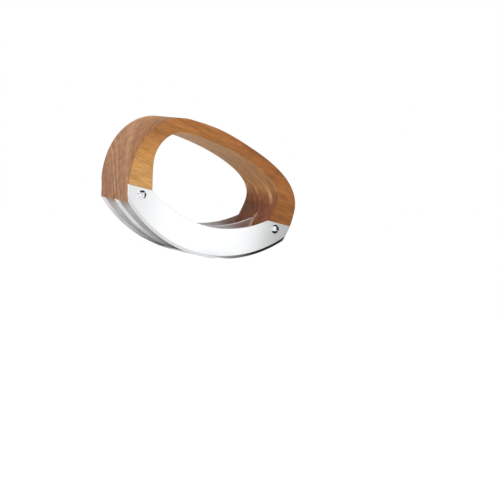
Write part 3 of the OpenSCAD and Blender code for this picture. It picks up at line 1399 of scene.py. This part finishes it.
@dataclass
class Studio:
    """The pale floor, the soft lamps, the grey cards and the camera at the photograph's place."""

    camera_place: tuple[float, float, float] = (-564.77, -1013.96, 3.69)
    heading: float = 31.509
    tilt: float = 0.489
    roll: float = 13.545
    lens: float = 108.0
    sensor: float = 36.0
    floor_half: float = 4000.0
    floor_shade: str = "E8E8E8"
    floor_glow: float = 0.4
    floor_fade: tuple[float, float] = (150.0, 500.0)
    surround: tuple[float, float] = (0.55, 1.0)
    lamp_target: tuple[float, float, float] = (0.0, 0.0, 50.0)
    card_strength: float = 1.25
    front_greys: Shades = (
        (-40, "D8D8D8"), (6, "DEDEDE"), (22, "EAEAEA"), (45, "FFFFFF"), (125, "FFFFFF"),
        (135, "F0F0F0"), (147, "C6C6C6"), (160, "A6A6A6"), (220, "A6A6A6"),
    )
    flag_grey: str = "303030"
    low_greys: Shades = ((0, "E8E8E8"), (35, "8C8C8C"), (65, "303030"), (260, "303030"))
    under_greys: Shades = ((-40, "D8D8D8"), (-5, "303030"), (80, "303030"), (110, "404040"))

    def camera(self) -> None:
        """Places the camera."""
        data = bpy.data.cameras.new("camera")
        data.sensor_fit = "HORIZONTAL"
        data.sensor_width = self.sensor
        data.lens = self.lens
        data.clip_start = 10 * MM
        camera = bpy.data.objects.new("camera", data)
        bpy.context.scene.collection.objects.link(camera)
        turn = Matrix.Rotation(math.radians(-self.heading), 4, "Z")
        look = Matrix.Rotation(math.radians(90 + self.tilt), 4, "X")
        lean = Matrix.Rotation(math.radians(self.roll), 4, "Z")
        place = Matrix.Translation(Vector(self.camera_place) * MM)
        camera.matrix_world = place @ turn @ look @ lean
        bpy.context.scene.camera = camera

    @staticmethod
    def seen_share(tree: NodeTree) -> Node:
        """Adds the nodes that give 1 to rays from the camera, mirrors and glass, else 0.

        Args:
            tree: A node tree of the floor or the world.

        Returns:
            The node whose output is the share.
        """
        path = add_node(tree, "ShaderNodeLightPath").outputs
        direct = {0: path["Is Camera Ray"], 1: path["Is Glossy Ray"]}
        seen = add_node(tree, "ShaderNodeMath", direct, operation="MAXIMUM")
        through = {0: seen, 1: path["Is Transmission Ray"]}
        return add_node(tree, "ShaderNodeMath", through, operation="MAXIMUM")

    def floor(self) -> None:
        """Lays the floor, which keeps the object's shadow and turns white further off."""
        work = bmesh.new()
        bmesh.ops.create_grid(work, size=self.floor_half * MM)
        floor = show("floor", work)
        material, tree = new_material("pale_floor")
        matt = add_node(tree, "ShaderNodeBsdfDiffuse", {"Color": linear_colour(self.floor_shade)})
        away = add_node(tree, "ShaderNodeVectorMath", {0: place_in_mm(tree)}, operation="LENGTH")
        whiter = stretch(away, *self.floor_fade, self.floor_glow, 1.0)
        whiteness = add_node(tree, "ShaderNodeMapRange", whiter, interpolation_type="SMOOTHSTEP")
        seen = {0: self.seen_share(tree), 1: whiteness}
        lift = add_node(tree, "ShaderNodeMath", seen, operation="MULTIPLY")
        glow = add_node(tree, "ShaderNodeEmission", {"Color": WHITE, "Strength": lift})
        both = add_node(tree, "ShaderNodeAddShader", {0: matt, 1: glow})
        add_node(tree, "ShaderNodeOutputMaterial", {"Surface": both})
        floor.data.materials.append(material)

    def world(self) -> None:
        """Sets a white surround that lights the object softly."""
        world = bpy.data.worlds.new("studio")
        bpy.context.scene.world = world
        world.use_nodes = True
        tree = world.node_tree
        tree.nodes.clear()
        share = self.seen_share(tree)
        strength = add_node(tree, "ShaderNodeMapRange", stretch(share, 0.0, 1.0, *self.surround))
        background = add_node(tree, "ShaderNodeBackground", {"Color": WHITE, "Strength": strength})
        add_node(tree, "ShaderNodeOutputWorld", {"Surface": background})

    def lamp(self, name: str, place: tuple[float, float, float], size: float, power: float) -> None:
        """Hangs a soft square lamp that faces the object.

        Args:
            name: The lamp's name.
            place: Where it hangs, in millimetres.
            size: The length of its side, in millimetres.
            power: Its power in watts.
        """
        data = bpy.data.lights.new(name, "AREA")
        data.shape = "SQUARE"
        data.size = size * MM
        data.energy = power
        lamp = bpy.data.objects.new(name, data)
        bpy.context.scene.collection.objects.link(lamp)
        aim = Vector(self.lamp_target) - Vector(place)
        turn = aim.to_track_quat("-Z", "Y").to_matrix().to_4x4()
        lamp.matrix_world = Matrix.Translation(Vector(place) * MM) @ turn

    def card(self, name: str, corners: list[tuple[float, float, float]], shades: Shades) -> None:
        """Sets up a card that only shows in what is polished, as a studio's boards do.

        Args:
            name: The card's name.
            corners: Its four corners in millimetres, of which the first and the last lie left.
            shades: The grey from its left to its right side, by the place in millimetres.
        """
        work = bmesh.new()
        work.faces.new([work.verts.new(Vector(corner) * MM) for corner in corners])
        card = show(name, work)
        material, tree = new_material(name)
        apart = add_node(tree, "ShaderNodeSeparateXYZ", {"Vector": place_in_mm(tree)})
        low, high = shades[0][0], shades[-1][0]
        share = add_node(tree, "ShaderNodeMapRange", stretch(apart, low, high))
        stops = tuple(((at - low) / (high - low), hex_code) for at, hex_code in shades)
        grey = add_node(tree, "ShaderNodeValToRGB", {"Fac": share}, stops)
        glow = add_node(tree, "ShaderNodeEmission", {"Color": grey, "Strength": self.card_strength})
        add_node(tree, "ShaderNodeOutputMaterial", {"Surface": glow})
        card.data.materials.append(material)
        for kind in ("camera", "diffuse", "shadow", "transmission", "volume_scatter"):
            setattr(card, f"visible_{kind}", False)

    def build(self) -> None:
        """Sets up the whole studio."""
        self.camera()
        self.floor()
        self.world()
        front = [(-40, -174, 1), (220, -174, 1), (220, -174, 160), (-40, -174, 160)]
        self.card("front_card", front, self.front_greys)
        dark = self.flag_grey
        low = [(0, -70, 1), (260, -130, 1), (260, -26, 1), (0, -26, 1)]
        self.card("low_flag", low, self.low_greys)
        under = [(-40, -21, 1), (110, -21, 1), (110, 60, 1), (-40, 60, 1)]
        self.card("under_flag", under, self.under_greys)
        right = [(330, -380, 1), (330, 150, 1), (330, 150, 260), (330, -380, 260)]
        self.card("right_flag", right, ((329, dark), (331, dark)))
        left = [(-540, -240, 1), (-350, -440, 1), (-350, -440, 260), (-540, -240, 260)]
        self.card("left_flag", left, ((-541, dark), (-349, dark)))
        high = [(-400, -700, 420), (500, -700, 420), (500, 60, 420), (-400, 60, 420)]
        self.card("high_flag", high, ((-400, dark), (500, dark)))
        self.lamp("key", (-900, -1100, 1300), 1200, 14)
        self.lamp("fill", (1200, -900, 700), 1400, 7)
        bpy.context.scene.view_settings.view_transform = "Standard"


def main() -> None:
    """Builds the studio and every piece, and dresses them."""
    logging.basicConfig(level=logging.INFO, format="%(name)s: %(message)s")
    Studio().build()
    log.info("studio: camera, floor, world, cards and lamps")

    wood = OiledAcacia().material()
    raw_wood = SawnAcacia().material()
    # Satin: the front blade mirrors what is around it as soft, even greys.
    face_steel = StainlessSteel("satin_stainless", "EBECED", (0.15, 0.2)).material()
    # As rolled: the inner blades only blur what is near them, from light above to dark below.
    inner_steel = StainlessSteel("rolled_stainless", "F4F5F6", (0.32, 0.4)).material()
    # Ground: the bevels catch a crisper line of light or dark along the cutting edges.
    ground_steel = StainlessSteel("ground_stainless", "D2D3D5", (0.12, 0.18)).material()
    # Polished: the domed heads hold a bright middle in a dark ring.
    rivet_steel = StainlessSteel("polished_stainless", "DCDDDF", (0.06, 0.12)).material()

    rivets = Rivets.from_frame()
    arch = WoodArch.from_frame()
    cuts = arch.cuts(wood, raw_wood)
    bores = arch.bores(rivets)
    arch.build(wood, [cuts, bores])

    plate_tree = Blade.tree()
    for plate in Plate:
        steel = face_steel if plate is Plate.FRONT else inner_steel
        Blade.from_frame(plate).build(plate_tree, steel, ground_steel, bores)
    for cutter in (cuts, bores):
        bpy.data.objects.remove(cutter)

    rivet_tree = rivets.tree()
    for side in Side:
        for half in RivetHalf:
            rivets.build(rivet_tree, side, half, rivet_steel)


if __name__ == "__main__":
    main()
